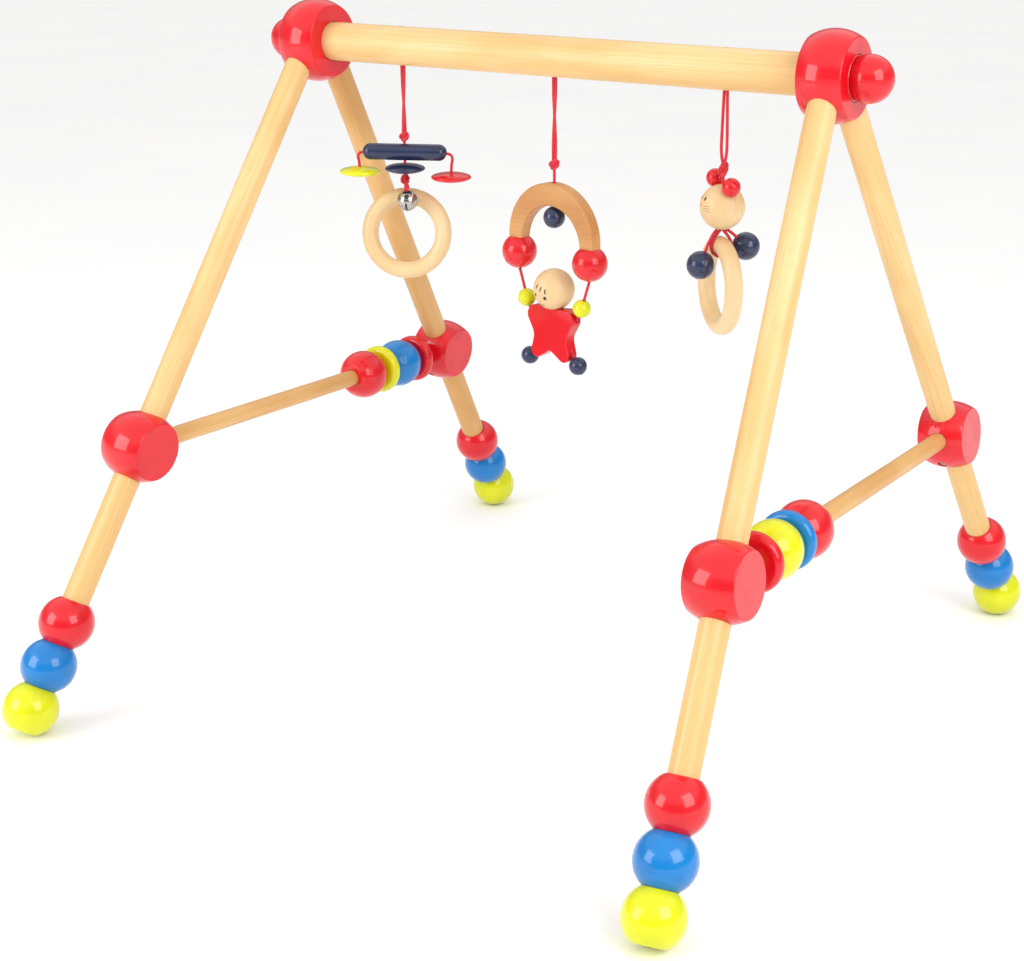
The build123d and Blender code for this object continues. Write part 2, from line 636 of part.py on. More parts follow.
with BuildPart() as mouse_head:
    with Locations(Plane(origin=mouse(0, 0, MOUSE_HEAD_Z))):
        Sphere(MOUSE_HEAD_DIA / 2)
    bore(Plane(origin=mouse(0, 0, MOUSE_HEAD_Z)), HEAD_HOLE, 2 * MOUSE_HEAD_DIA, centred=True)
save("mouse_head", mouse_head)

with BuildPart() as mouse_ears:
    for u, z in EARS:
        with Locations(Plane(origin=mouse(u, 0, z))):
            Sphere(EAR_DIA / 2)
    with Locations(Plane(origin=mouse(0, 0, MOUSE_HEAD_Z))):
        Sphere(MOUSE_HEAD_DIA / 2 + HEAD_SEAT, mode=Mode.SUBTRACT)
save("mouse_ears", mouse_ears)

ring_turn = MOUSE_TURN + 90 - MOUSE_RING_TURN
grasping_ring("mouse_ring", across(MOUSE_X, ring_turn, 0, 0, MOUSE_RING_Z))
mouse_top_z = MOUSE_RING_Z + ring_top
neck = NECK_Z - 0.6
mouse_loop = loop_route(mouse, 0, mouse_top_z, loop_radius, (STRAND_OUT, neck), (-STRAND_OUT, neck))
cord_piece("mouse_ring_cord", [mouse_loop])

hand_runs = {
    "front": [(HAND_CORD_W, NECK_Z - 0.4), (9.5, 358.6), FRONT_HAND],
    "back": [(-HAND_CORD_W, NECK_Z - 0.4), (-9.6, 360.2), BACK_HAND],
}
hand_routes = []
for hand_name, run in hand_runs.items():
    points = [mouse(0, w, z) for w, z in run]
    along_cord = (points[2] - points[1]).normalized()
    hand_routes.append(points[:2] + [points[2] + along_cord * (HAND_BEAD_DIA / 2 + 1)])
    with BuildPart() as hand_bead:
        with Locations(Plane(origin=points[2])):
            Sphere(HAND_BEAD_DIA / 2)
        bore(Plane(origin=points[2], z_dir=along_cord), BEAD_CORD_BORE, 2 * HAND_BEAD_DIA, centred=True)
    save(f"mouse_{hand_name}_hand", hand_bead)
cord_piece("mouse_hand_cords", hand_routes)
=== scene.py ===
"""Looks of a wooden baby play gym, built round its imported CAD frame. Everything is in metres."""
from math import cos, pi, radians, sin, sqrt, tau

import bpy
from mathutils import Matrix, Vector


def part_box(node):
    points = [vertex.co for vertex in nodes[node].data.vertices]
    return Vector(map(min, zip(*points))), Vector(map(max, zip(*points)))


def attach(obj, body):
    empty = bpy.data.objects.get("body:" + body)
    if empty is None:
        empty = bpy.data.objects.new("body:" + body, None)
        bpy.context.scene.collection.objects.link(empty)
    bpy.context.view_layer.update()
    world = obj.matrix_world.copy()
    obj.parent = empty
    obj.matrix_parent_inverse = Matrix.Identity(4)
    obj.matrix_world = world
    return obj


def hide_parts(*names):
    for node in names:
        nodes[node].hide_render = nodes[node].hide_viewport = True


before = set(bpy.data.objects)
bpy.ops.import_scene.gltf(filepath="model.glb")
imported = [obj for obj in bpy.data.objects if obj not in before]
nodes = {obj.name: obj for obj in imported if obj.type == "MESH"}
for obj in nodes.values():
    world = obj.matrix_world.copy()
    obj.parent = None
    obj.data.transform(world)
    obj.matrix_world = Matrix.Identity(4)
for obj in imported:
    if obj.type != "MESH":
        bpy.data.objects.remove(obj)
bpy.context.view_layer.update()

# ---- camera: a long lens, above and to the right of the front ----
CAMERA_AT = (0.6997, -1.1047, 0.6009)
AZIMUTH, ELEVATION, ROLL = 30.918, 17.311, 0.571
LENS = 63.93
SHIFT = (-0.0831, -0.0463)


def make_camera():
    data = bpy.data.cameras.new("camera")
    data.lens = LENS
    data.sensor_width = 36.0
    data.shift_x, data.shift_y = SHIFT
    data.clip_start, data.clip_end = 0.02, 60.0
    camera = bpy.data.objects.new("camera", data)
    bpy.context.scene.collection.objects.link(camera)
    turn = Matrix.Rotation(radians(AZIMUTH), 4, "Z")
    tip = Matrix.Rotation(radians(90.0 - ELEVATION), 4, "X")
    roll = Matrix.Rotation(radians(ROLL), 4, "Z")
    camera.matrix_world = Matrix.Translation(CAMERA_AT) @ turn @ tip @ roll
    bpy.context.scene.camera = camera


make_camera()

# ---- shader helpers ----


def srgb(red, green, blue):
    """A screen colour from 0 to 255 as a linear one."""
    parts = [c / 255 for c in (red, green, blue)]
    linear = [c / 12.92 if c <= 0.04045 else ((c + 0.055) / 1.055) ** 2.4 for c in parts]
    return (*linear, 1.0)


def new_shader(name):
    """A new material with a Principled shader; returns the material, its tree and the shader."""
    made = bpy.data.materials.new(name)
    made.use_nodes = True
    tree = made.node_tree
    tree.nodes.clear()
    out = tree.nodes.new("ShaderNodeOutputMaterial")
    shader = tree.nodes.new("ShaderNodeBsdfPrincipled")
    tree.links.new(shader.outputs["BSDF"], out.inputs["Surface"])
    return made, tree, shader


def feed(tree, node, inputs):
    """Sets or links a node's inputs, by name or number."""
    for key, value in inputs.items():
        if isinstance(value, bpy.types.NodeSocket):
            tree.links.new(value, node.inputs[key])
        else:
            node.inputs[key].default_value = value
    return node


def add(tree, kind, inputs, **settings):
    """A node of that kind with its settings and inputs."""
    node = tree.nodes.new(kind)
    for key, value in settings.items():
        setattr(node, key, value)
    return feed(tree, node, inputs)


def noise(tree, vector, scale, detail=3.0, rough=0.55):
    values = {"Vector": vector, "Scale": scale, "Detail": detail, "Roughness": rough}
    return add(tree, "ShaderNodeTexNoise", values).outputs["Fac"]


def ramp(tree, value, low, high, to_low=0.0, to_high=1.0):
    """Maps value from low..high to to_low..to_high, smoothly and clamped."""
    values = {"Value": value, 1: low, 2: high, 3: to_low, 4: to_high}
    made = add(tree, "ShaderNodeMapRange", values, interpolation_type="SMOOTHSTEP")
    return made.outputs["Result"]


def blend(tree, share, first, second):
    """A colour between first and second."""
    values = {"Factor": share, 6: first, 7: second}
    return add(tree, "ShaderNodeMix", values, data_type="RGBA").outputs[2]


def bump(tree, height, strength, distance):
    values = {"Height": height, "Strength": strength, "Distance": distance}
    return add(tree, "ShaderNodeBump", values).outputs["Normal"]


def maths(tree, operation, first, second):
    return add(tree, "ShaderNodeMath", {0: first, 1: second}, operation=operation).outputs[0]


def along(tree, axis, centre, stretch, shift=(0.0, 0.0, 0.0)):
    """Object coordinates turned so that Z runs along axis, drawn out along it by stretch."""
    place = add(tree, "ShaderNodeTexCoord", {}).outputs["Object"]
    offset = add(tree, "ShaderNodeVectorMath", {0: place, 1: centre}, operation="SUBTRACT")
    turn = Vector(axis).rotation_difference(Vector((0, 0, 1))).to_euler()
    turned = add(tree, "ShaderNodeMapping", {"Vector": offset.outputs[0], "Rotation": turn})
    values = {"Vector": turned.outputs[0], "Location": shift, "Scale": (1.0, 1.0, 1.0 / stretch)}
    return add(tree, "ShaderNodeMapping", values).outputs[0]


# ---- materials ----
PINE = (srgb(232, 198, 140), srgb(222, 182, 118), srgb(194, 142, 80))
# a darker pine; on the rear left leg it is painted shade
DARKER_PINE = (srgb(222, 178, 116), srgb(208, 158, 94), srgb(174, 120, 60))
BEECH = (srgb(206, 152, 94), srgb(190, 132, 74), srgb(150, 94, 50))
MAPLE = (srgb(230, 202, 156), srgb(220, 186, 136), srgb(200, 160, 108))


def wood(name, tones, axis, centre, ring=0.0016, figure=0.3, pith=(0.021, 0.034)):
    """Oiled wood: growth rings about a pith beside the piece, fine fibres and slow colour drift."""
    light, middle, dark = tones
    made, tree, shader = new_shader(name)
    drawn = along(tree, axis, centre, 18.0, (*pith, 0.0))
    rings = add(
        tree,
        "ShaderNodeTexWave",
        {"Vector": drawn, "Scale": tau / 20 / ring, "Distortion": 2.6, "Detail": 3.0, "Detail Scale": 0.4},
        wave_type="RINGS",
        rings_direction="Z",
    ).outputs["Fac"]
    fibre = noise(tree, along(tree, axis, centre, 30.0, (0.3, 0.1, 0.2)), 1500.0, 4.0, 0.62)
    streak = noise(tree, along(tree, axis, centre, 22.0, (0.7, 0.4, 0.5)), 260.0, 2.0)
    drift = noise(tree, along(tree, axis, centre, 3.0, (0.2, 0.9, 0.1)), 26.0, 2.0)
    base = blend(tree, ramp(tree, drift, 0.35, 0.65), light, middle)
    patchy = ramp(tree, streak, 0.3, 0.65, 0.25, 1.0)
    late = maths(tree, "MULTIPLY", maths(tree, "MULTIPLY", ramp(tree, rings, 0.35, 1.0), patchy), figure)
    ringed = blend(tree, late, base, dark)
    streaked = blend(tree, ramp(tree, streak, 0.5, 0.8, 0.0, 0.35), ringed, middle)
    colour = blend(tree, ramp(tree, fibre, 0.52, 0.78, 0.0, 0.4), streaked, dark)
    height = maths(tree, "ADD", fibre, maths(tree, "MULTIPLY", rings, 0.3))
    feed(tree, shader, {
        "Base Color": colour,
        "Roughness": ramp(tree, fibre, 0.3, 0.8, 0.36, 0.5),
        "Specular IOR Level": 0.35,
        "Coat Weight": 0.2,
        "Coat Roughness": 0.25,
        "Normal": bump(tree, height, 0.12, 0.0001),
    })
    return made


def lacquer(name, tone, deep):
    """Gloss paint over turned wood: slight pooling of colour, the grain just telegraphing through."""
    made, tree, shader = new_shader(name)
    place = add(tree, "ShaderNodeTexCoord", {}).outputs["Object"]
    pooled = ramp(tree, noise(tree, place, 55.0, 3.0), 0.35, 0.7)
    speck = ramp(tree, noise(tree, place, 900.0, 2.0), 0.55, 0.8, 0.0, 0.35)
    shade = maths(tree, "MAXIMUM", maths(tree, "MULTIPLY", pooled, 0.5), speck)
    ripple = noise(tree, place, 170.0, 2.0, 0.4)
    peel = noise(tree, place, 1100.0, 2.0, 0.5)
    height = maths(tree, "ADD", ripple, maths(tree, "MULTIPLY", peel, 0.12))
    feed(tree, shader, {
        "Base Color": blend(tree, shade, tone, deep),
        "Roughness": ramp(tree, pooled, 0.0, 1.0, 0.3, 0.38),
        "Specular IOR Level": 0.2,
        "Coat Weight": 0.7,
        "Coat Roughness": 0.05,
        "Normal": bump(tree, height, 0.2, 0.00015),
    })
    return made


def plated(name, tone, rough):
    """Plated or bright metal with faint handling marks."""
    made, tree, shader = new_shader(name)
    place = add(tree, "ShaderNodeTexCoord", {}).outputs["Object"]
    marks = noise(tree, place, 1400.0, 4.0, 0.65)
    feed(tree, shader, {
        "Base Color": blend(tree, ramp(tree, marks, 0.4, 0.8, 0.0, 0.25), tone, srgb(150, 146, 140)),
        "Metallic": 1.0,
        "Roughness": ramp(tree, marks, 0.35, 0.8, rough, rough + 0.12),
        "Normal": bump(tree, noise(tree, place, 420.0, 2.0), 0.06, 0.0001),
    })
    return made


def braid(name):
    """Red braided polyester: fine threads with a soft sheen, and painted shade between them."""
    made, tree, shader = new_shader(name)
    place = add(tree, "ShaderNodeTexCoord", {}).outputs["Object"]
    thread = noise(tree, place, 4200.0, 3.0, 0.6)
    patch = noise(tree, place, 500.0, 2.0)
    # the thread noise darkens the red as painted shade in the crevices between threads; the patch noise
    # makes it uneven
    shade = maths(tree, "MULTIPLY", ramp(tree, thread, 0.35, 0.7), ramp(tree, patch, 0.3, 0.7, 0.5, 1.0))
    feed(tree, shader, {
        "Base Color": blend(tree, shade, srgb(222, 32, 50), srgb(168, 8, 26)),
        "Roughness": ramp(tree, thread, 0.3, 0.7, 0.5, 0.7),
        "Sheen Weight": 0.35,
        "Sheen Roughness": 0.4,
        "Normal": bump(tree, thread, 0.5, 0.00012),
    })
    return made


def ink(name, tone):
    """Printed paint of the faces, slightly uneven; the black also paints the shade inside the bell's hole
    and slit.
    """
    made, tree, shader = new_shader(name)
    place = add(tree, "ShaderNodeTexCoord", {}).outputs["Object"]
    worn = ramp(tree, noise(tree, place, 2600.0, 3.0), 0.55, 0.85, 0.0, 0.3)
    feed(tree, shader, {
        "Base Color": blend(tree, worn, tone, srgb(120, 84, 60)),
        "Roughness": ramp(tree, worn, 0.0, 0.3, 0.35, 0.55),
        "Coat Weight": 0.3,
        "Coat Roughness": 0.2,
    })
    return made


LACQUERS = {
    "red": lacquer("red_lacquer", srgb(218, 14, 30), srgb(194, 6, 22)),
    "blue": lacquer("blue_lacquer", srgb(0, 122, 196), srgb(0, 104, 178)),
    "yellow": lacquer("yellow_lacquer", srgb(218, 220, 8), srgb(196, 200, 0)),
    "navy": lacquer("navy_lacquer", srgb(36, 46, 80), srgb(24, 32, 60)),
}
CORD = braid("cord")
STEEL = plated("steel", srgb(190, 188, 184), 0.25)
NICKEL = plated("nickel", srgb(186, 182, 176), 0.12)
BLACK_INK_AND_SHADE = ink("black_ink_and_shade", srgb(26, 20, 18))
PINK_INK = ink("pink_ink", srgb(224, 110, 110))

# ---- cords: braided strands that follow a smooth line ----
STRAND = 0.0021
RING_POINTS = 16
BRAID_PITCH = 0.0015
END_CAP = ((0.35, 0.95), (0.75, 0.66))  # how far past the end, and how wide, in radii
END_TIP = 0.18
BRAID_DEPTH = 0.09
STEP = BRAID_PITCH / 4


def smooth_line(points):
    """The points of the smooth line that has a route's points as its control points."""
    curve = bpy.data.curves.new("route", "CURVE")
    curve.dimensions = "3D"
    spline = curve.splines.new("NURBS")
    spline.points.add(len(points) - 1)
    for knot, point in zip(spline.points, points):
        knot.co = (*point, 1.0)
    spline.order_u = 3
    spline.use_endpoint_u = True
    spline.resolution_u = 24
    holder = bpy.data.objects.new("route", curve)
    mesh = bpy.data.meshes.new_from_object(holder)
    line = [v.co.copy() for v in mesh.vertices]
    bpy.data.meshes.remove(mesh)
    bpy.data.objects.remove(holder)
    bpy.data.curves.remove(curve)
    return line


def spaced(line, step):
    """The line again, with points evenly spaced by about step."""
    reached = [0.0]
    for a, b in zip(line, line[1:]):
        reached.append(reached[-1] + (b - a).length)
    count = max(2, round(reached[-1] / step))
    made, i = [], 0
    for k in range(count + 1):
        at = reached[-1] * k / count
        while i < len(line) - 2 and reached[i + 1] < at:
            i += 1
        share = (at - reached[i]) / max(reached[i + 1] - reached[i], 1e-9)
        made.append(line[i].lerp(line[i + 1], min(1.0, share)))
    return made


def sections(line):
    """For each point of a line: the point, its direction and two directions across it."""
    made, side = [], None
    for i, point in enumerate(line):
        ahead = (line[min(i + 1, len(line) - 1)] - line[max(i - 1, 0)]).normalized()
        side = ahead.orthogonal() if side is None else side
        side = (side - ahead * side.dot(ahead)).normalized()
        made.append((point, ahead, side, ahead.cross(side)))
    return made


def side_by_side(line, turn=0.0, twist=0.0, apart=0.86 * STRAND):
    """Two lines beside a line, turning about it by twist along its length."""
    pair = [[], []]
    rows = sections(line)
    for i, (point, _, side, up) in enumerate(rows):
        angle = turn + twist * i / (len(rows) - 1)
        out = (side * cos(angle) + up * sin(angle)) * apart / 2
        pair[0].append(point + out)
        pair[1].append(point - out)
    return pair


def new_piece(name, points, faces, material, smooth=True):
    """A mesh piece from its points and faces, in the scene."""
    mesh = bpy.data.meshes.new(name)
    mesh.from_pydata([tuple(p) for p in points], [], faces)
    mesh.polygons.foreach_set("use_smooth", [smooth] * len(mesh.polygons))
    mesh.materials.append(material)
    piece = bpy.data.objects.new(name, mesh)
    bpy.context.scene.collection.objects.link(piece)
    return piece


def braided(name, lines, radius=STRAND / 2):
    """One piece of braided strands, one along each line, with rounded ends."""
    points, faces = [], []
    for line in lines:
        rows = sections(line)
        first, last = rows[0], rows[-1]
        for share, narrow in reversed(END_CAP):
            rows.insert(0, (first[0] - first[1] * radius * share, *first[1:], narrow))
        for share, narrow in END_CAP:
            rows.append((last[0] + last[1] * radius * share, *last[1:], narrow))
        start = len(points)
        for i, row in enumerate(rows):
            point, _, side, up = row[:4]
            narrow = row[4] if len(row) > 4 else 1.0
            for k in range(RING_POINTS):
                angle = tau * k / RING_POINTS
                plait = cos(RING_POINTS / 2 * angle) * cos(pi / 2 * i)
                out = radius * narrow * (1 + BRAID_DEPTH * plait)
                points.append(point + (side * cos(angle) + up * sin(angle)) * out)
        for i in range(len(rows) - 1):
            low = start + i * RING_POINTS
            for k in range(RING_POINTS):
                after = (k + 1) % RING_POINTS
                faces.append((low + k, low + after, low + RING_POINTS + after, low + RING_POINTS + k))
        for ring, sign in ((0, -1), (len(rows) - 1, 1)):
            point, ahead = rows[ring][:2]
            points.append(point + ahead * radius * END_TIP * sign)
            low = start + ring * RING_POINTS
            for k in range(RING_POINTS):
                pair = (low + k, low + (k + 1) % RING_POINTS)
                faces.append((*pair[::-sign], len(points) - 1))
    return new_piece(name, points, faces, CORD)


KNOT_CORE = 0.00135  # middle of a knot to the middle of its wraps
KNOT_WRAP = 0.00095
KNOT_STEPS = 178
KNOT_OVERLAP = 2  # steps by which the wound cord passes its own start
KNOT_APART = 0.62 * STRAND


def tied_knot(name, body, centre, height, lean=0.0, scale=1.0):
    """An overhand knot pulled tight: the cord wound over and under itself, its axis leaning."""
    turn = Matrix.Rotation(radians(lean), 3, "Y")
    rise = (height / 2 - STRAND / 2) / KNOT_WRAP
    line = []
    for i in range(KNOT_STEPS + KNOT_OVERLAP + 1):
        t = tau * i / KNOT_STEPS
        out = (KNOT_CORE + KNOT_WRAP * cos(3 * t)) * scale
        spot = Vector((out * cos(2 * t), out * sin(2 * t), KNOT_WRAP * rise * sin(3 * t)))
        line.append(Vector(centre) + turn @ spot)
    piece = braided(name, side_by_side(spaced(line, STEP), pi / 3, 0.0, KNOT_APART))
    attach(piece, body)
    return piece


def lay_cord(name, body, node, points, strands=1, twist=0.0):
    """A cord piece that stands for a CAD cord node, which it hides."""
    line = spaced(smooth_line(points), STEP)
    lines = side_by_side(line, 0.0, twist) if strands == 2 else [line]
    piece = braided(name, lines)
    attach(piece, body)
    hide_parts(node)
    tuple(points[0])
    return piece


def toy_frame(x, turn):
    """Maps a toy's (u, w, z) to the frame: u across it, w to its front."""
    a = radians(turn)

    def place(u, w, z):
        return Vector((x + u * cos(a) + w * sin(a), u * sin(a) - w * cos(a), z))

    return place


MOUSE_X = 0.1364
spin = toy_frame(-0.134, 27.0)
swing = toy_frame(0.0, -10.0)
mouse = toy_frame(MOUSE_X, -38.3)
beam_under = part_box("beam")[0].z

# toy 1, the spinner
upper_knot = tied_knot("spinner_upper_knot", "spinner_line", spin(0, 0, 0.4052), height=0.007, lean=24.0)
lay_cord("spinner_hanging_cord", "spinner_line", "spinner_cord",
         [spin(0, 0, beam_under), spin(0, 0, 0.4075)],
         strands=2, twist=pi)
END_CORDS = {  # side, length and route from inside the rod to inside the disc
    "left": (-1, 0.0308, ((0.022, 0.3932), (0.0336, 0.3932), (0.0364, 0.3898), (0.0347, 0.385),
                          (0.0347, 0.3746))),
    "right": (1, 0.034, ((0.022, 0.3932), (0.0338, 0.3932), (0.0368, 0.3896), (0.0352, 0.3834),
                         (0.0352, 0.3716))),
}
for hand, (side, long, run) in END_CORDS.items():
    lay_cord(f"spinner_{hand}_end_cord", "spinner", "spinner_end_cords",
             [spin(side * u, 0, z) for u, z in run])
lower_knot = tied_knot("spinner_lower_knot", "spinner", spin(0, 0, 0.3727), height=0.0058, lean=-20.0)
MIDDLE_CORD = ((0, 0, 0.4045), (0, 0, 0.376), (0.0013, 0.0044, 0.3712), (0.0028, 0.009, 0.369),
               (0.0032, 0.0104, 0.3636))
lay_cord("spinner_bell_cord", "spinner", "spinner_middle_cord", [spin(*point) for point in MIDDLE_CORD])

LOOP_TURNS = (22, -28, -78, -128, -178, -228)
LOOP_RADIUS = 0.0084
SPINNER_RING_TOP = (-0.0069, 0.35862)  # w and z of the middle of the ring's tube at its top
MOUSE_RING_TOP = (0.0, 0.35185)


def ring_loop(place, top, start, finish):
    """A cord's route round a ring's tube at its top, in the plane of w and z."""
    w, z = top
    around = [(w + LOOP_RADIUS * cos(radians(a)), z + LOOP_RADIUS * sin(radians(a))) for a in LOOP_TURNS]
    return [place(0, a, b) for a, b in [start] + around + [finish]]


lay_cord("spinner_ring_loop", "spinner_ring", "spinner_ring_cord",
         ring_loop(spin, SPINNER_RING_TOP, (-0.0003, 0.3708), (-0.0028, 0.3708)))

# toy 2, the figure that swings from an arch
swing_knot = tied_knot("swing_knot", "swing_line", swing(0, 0, 0.3962), height=0.0076, lean=32.0)
lay_cord("swing_hanging_cord", "swing_line", "swing_cord",
         [swing(0, 0, beam_under), swing(0, 0, 0.396)],
         strands=2, twist=1.3 * pi)
lay_cord("arch_cord", "arch", "arch_cord", [swing(0, 0, 0.3942), swing(0, 0, 0.3524)])
FIGURE_CORD = ((0.0344, 0.3146), (0.0295, 0.3006), (0.0254, 0.2874), (0.0144, 0.2774),
               (0.0134, 0.2636), (0.026, 0.2472))
for hand, side in (("left", -1), ("right", 1)):
    lay_cord(f"figure_{hand}_cord", "figure", "figure_cords",
             [swing(side * u, 0, z) for u, z in FIGURE_CORD])

# toy 3, the mouse with its grasping ring
STRAND_RUN = ((0.0012, beam_under), (0.0022, 0.425), (0.0021, 0.414), (0.0006, 0.4085))
mouse_knot = tied_knot("mouse_knot", "mouse_line", mouse(0, 0, 0.4048), height=0.0104, lean=12.0, scale=0.9)
for hand, side in (("left", -1), ("right", 1)):
    strand = [Vector((MOUSE_X + side * out, 0, z)) for out, z in STRAND_RUN]
    lay_cord(f"mouse_{hand}_strand", "mouse_line", "mouse_cord", strand)
lay_cord("mouse_head_cord", "mouse", "mouse_head_cord", [mouse(0, 0, 0.401), mouse(0, 0, 0.3637)])
lay_cord("mouse_ring_loop", "mouse_ring", "mouse_ring_cord",
         ring_loop(mouse, MOUSE_RING_TOP, (0.0012, 0.3625), (-0.0012, 0.3625)))
PAST_HAND = 0.0092  # from a hand bead's centre to its cord's end
HANDS = {  # u, w and z of the cord's start, its bend and the bead's centre, and its length
    "front": ((0, 0.0039, 0.3627), (0, 0.0095, 0.3586), (0, 0.0152, 0.339), 0.036),
    "back": ((0, -0.0039, 0.3627), (0, -0.0096, 0.3602), (0, -0.0188, 0.3502), 0.0305),
}
for hand, (start, bend, bead, long) in HANDS.items():
    end = Vector(bead) + (Vector(bead) - Vector(bend)).normalized() * PAST_HAND
    lay_cord(f"mouse_{hand}_hand_cord", "mouse", "mouse_hand_cords",
             [mouse(*start), mouse(*bend), mouse(*end)])

# ---- materials of the CAD nodes ----


def dress(node, material):
    """Gives every material slot of a CAD node's object that material."""
    piece = nodes[node]
    if not piece.material_slots:
        piece.data.materials.append(material)
    for slot in piece.material_slots:
        slot.material = material


def middle_of(node):
    low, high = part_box(node)
    return (low + high) / 2


for node in nodes:
    for tone in LACQUERS:
        if f"{tone}_" in node:
            dress(node, LACQUERS[tone])
for node in ("left_hub", "right_hub", "left_end_knob", "right_end_knob", "arch_balls", "mouse_ears",
             "figure_body"):
    dress(node, LACQUERS["red"])
for node in ("spinner_rod", "mouse_front_hand", "mouse_back_hand", "figure_foot_beads"):
    dress(node, LACQUERS["navy"])
dress("hand_beads", LACQUERS["yellow"])
dress("joint_screws", STEEL)
dress("bell_ball", STEEL)
dress("bell_shell", NICKEL)

SIDES = {"left": -1, "right": 1}
ENDS = {"front": -1, "rear": 1}
dress("beam", wood("beam_pine", PINE, (1, 0, 0),
                   middle_of("beam"), ring=0.0019, figure=0.22, pith=(0.03, 0.026)))
PITHS = {"front_left": (0.02, 0.03), "rear_left": (-0.028, 0.02), "front_right": (0.034, -0.02),
         "rear_right": (-0.02, -0.03)}
for end, y_sign in ENDS.items():
    for side, x_sign in SIDES.items():
        dress(f"{end}_{side}_joint_ball", LACQUERS["red"])
        leg = f"{end}_{side}_leg"
        low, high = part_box(leg)
        span = high - low
        # the leg's box is a little wider than its lean
        axis = (x_sign * span.x * 0.9, y_sign * span.y, -span.z)
        # the rear left leg gets the darker pine as painted shade
        tones, figure = (DARKER_PINE, 0.34) if leg == "rear_left_leg" else (PINE, 0.26)
        dress(leg, wood(f"{leg}_pine", tones, axis, middle_of(leg), ring=0.0018, figure=figure,
                        pith=PITHS[f"{end}_{side}"]))
for side in SIDES:
    bar = f"{side}_crossbar"
    dress(bar, wood(f"{bar}_pine", DARKER_PINE, (0, 1, 0), middle_of(bar), ring=0.0019, figure=0.32,
                    pith=(0.02, 0.03)))
dress("cord_pegs", wood("peg_beech", BEECH, (0, 0, 1), middle_of("cord_pegs")))
dress("foot_dowels", wood("dowel_beech", BEECH, (0, 0, 1), middle_of("foot_dowels")))
across_arch = swing(1, 0, 0) - swing(0, 0, 0)
dress("arch", wood("arch_beech", BEECH, across_arch, middle_of("arch"), ring=0.0023, figure=0.16,
                   pith=(0.04, 0.05)))
dress("spinner_ring", wood("spinner_ring_maple", MAPLE, (0.2, 0.3, 1), middle_of("spinner_ring"),
                           ring=0.003, figure=0.12))
dress("mouse_ring", wood("mouse_ring_maple", MAPLE, (0.3, 0.1, 1), middle_of("mouse_ring"),
                         ring=0.003, figure=0.1))

# ---- faces: thin raised paint on the turned heads ----
MARK_LIFT = 0.00012
MARK_SINK = 0.00025
DOT_POINTS = 24
# a dot's rings: how far out, and its height as a share of the lift; the last is sunk in the wood
DOT_RINGS = ((0.55, 0.82), (0.85, 0.4), (1.0, 0.0), (1.0, None))
STROKE_STEPS = 14
# across a stroke: where, in half widths, and how far off the wood
STROKE_EDGES = ((-1, -MARK_SINK), (-1, MARK_LIFT / 2), (0, MARK_LIFT), (1, MARK_LIFT / 2), (1, -MARK_SINK))


def face_frame(node, turn, nod, roll):
    """A head's centre and radius, and its face's directions: right, up and front."""
    low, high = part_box(node)
    centre = (low + high) / 2
    a, n, r = radians(turn), radians(nod), radians(roll)
    front = Vector((sin(a) * cos(n), -cos(a) * cos(n), -sin(n)))
    level = Vector((cos(a), sin(a), 0))
    crown = level.cross(front) * -1
    crown = crown if crown.z > 0 else -crown
    right = level * cos(r) + crown * sin(r)
    up = crown * cos(r) - level * sin(r)
    return centre, (high.z - low.z) / 2, right, up, front


def on_face(face, x, y, lift):
    """The point of a face at x right and y up, in head radii, lifted off the wood."""
    centre, radius, right, up, front = face
    depth = sqrt(max(0.0, 1 - x * x - y * y))
    return centre + (right * x + up * y + front * depth) * (radius + lift)


def painted_stroke(name, body, face, start, end, width, ink_used, bow=0.0):
    """A brush stroke from start to end on a face, tapered to its ends."""
    points, faces, across = [], [], len(STROKE_EDGES)
    direction = Vector(end) - Vector(start)
    normal = Vector((-direction.y, direction.x)).normalized()
    for i in range(STROKE_STEPS + 1):
        t = i / STROKE_STEPS
        middle = Vector(start).lerp(Vector(end), t) + normal * bow * 4 * t * (1 - t)
        half = width / 2 * (0.25 + 0.75 * sqrt(max(0.0, 1 - (2 * t - 1) ** 2)))
        for edge, lift in STROKE_EDGES:
            spot = middle + normal * half * edge
            points.append(on_face(face, spot.x, spot.y, lift))
    for i in range(STROKE_STEPS):
        for k in range(across):
            a, b = across * i + k, across * i + (k + 1) % across
            faces.append((a, b, b + across, a + across))
    faces.append(tuple(range(across))[::-1])
    faces.append(tuple(range(across * STROKE_STEPS, across * STROKE_STEPS + across)))
    piece = new_piece(name, points, faces, ink_used)
    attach(piece, body)
    return piece


def painted_dot(name, body, face, x, y, wide, tall, ink_used, lift=0.00025, lean=0.0):
    """An oval painted dot, slightly domed."""
    points, faces, count = [on_face(face, x, y, lift)], [], DOT_POINTS
    tilt = radians(lean)
    for share, dome in DOT_RINGS:
        for k in range(count):
            a = tau * k / count
            u, v = wide / 2 * share * cos(a), tall / 2 * share * sin(a)
            high = lift * dome if dome is not None else -MARK_SINK
            spot = (x + u * cos(tilt) - v * sin(tilt), y + u * sin(tilt) + v * cos(tilt))
            points.append(on_face(face, *spot, high))
    for k in range(count):
        after = (k + 1) % count
        faces.append((0, 1 + k, 1 + after))
        for ring in range(len(DOT_RINGS) - 1):
            low = 1 + ring * count
            faces.append((low + k, low + count + k, low + count + after, low + after))
    rim = 1 + (len(DOT_RINGS) - 1) * count
    faces.append(tuple(rim + k for k in reversed(range(count))))
    piece = new_piece(name, points, faces, ink_used)
    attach(piece, body)
    return piece


